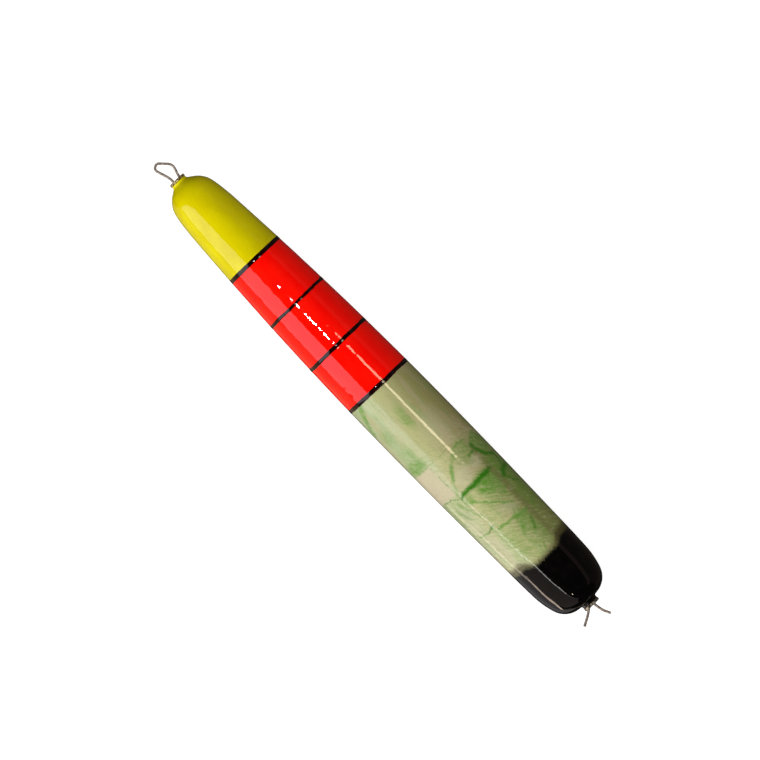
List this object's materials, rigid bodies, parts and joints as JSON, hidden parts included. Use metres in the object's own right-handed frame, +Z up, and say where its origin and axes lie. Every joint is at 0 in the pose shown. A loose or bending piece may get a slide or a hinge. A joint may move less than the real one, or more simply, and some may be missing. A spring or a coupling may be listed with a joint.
{
  "type": "bobber float",
  "caption": "Long barrel fishing float with a lined through bore, rolled end eyelets, painted sight bands, marbled body and a folded threading wire.",
  "frame": {"origin": "on the surface that the float lies on, under the bore's axis, midway between the two ends of the wire", "axes": "+X along the bore towards the yellow tip, +Z up from the surface, +Y to the side that the wire's loop leans to"},
  "size_m": [0.1937, 0.0238, 0.0237],
  "materials": {
    "body_core": "turned balsa, bored right through",
    "primer_coat": "white sealing primer on the wood",
    "liner_tube": "plain extruded plastic tube",
    "tip_eyelet": "rolled eyelet, dark lacquered metal",
    "butt_eyelet": "rolled eyelet, dark lacquered metal",
    "threading_wire": "drawn spring wire, dull tan grey",
    "yellow_tip_coat": "fluorescent yellow paint",
    "red_band_coat": "fluorescent red paint",
    "marble_coat": "hand-marbled sage green, cream and dark green",
    "black_butt_coat": "black paint, soft sprayed edge",
    "black_ring_1": "hand-painted black ring",
    "black_ring_2": "hand-painted black ring",
    "black_ring_3": "hand-painted black ring",
    "black_ring_4": "hand-painted black ring",
    "clear_coat": "hard clear lacquer, high gloss, faint amber cast"
  },
  "bodies": {
    "float_body": {"body_core": "body_core", "primer_coat": "primer_coat", "liner_tube": "liner_tube", "tip_eyelet": "tip_eyelet", "butt_eyelet": "butt_eyelet", "yellow_tip_coat": "yellow_tip_coat", "red_band_coat": "red_band_coat", "marble_coat": "marble_coat", "black_butt_coat": "black_butt_coat", "black_ring_1": "black_ring_1", "black_ring_2": "black_ring_2", "black_ring_3": "black_ring_3", "black_ring_4": "black_ring_4", "clear_coat": "clear_coat"},
    "wire": {"threading_wire": "threading_wire"}
  },
  "joints": [
    {"name": "wire_turn", "type": "hinge", "parent": "float_body", "child": "wire", "pos_m": [0, 0, 0.01187], "axis": [1, 0, 0], "continuous": true}
  ]
}
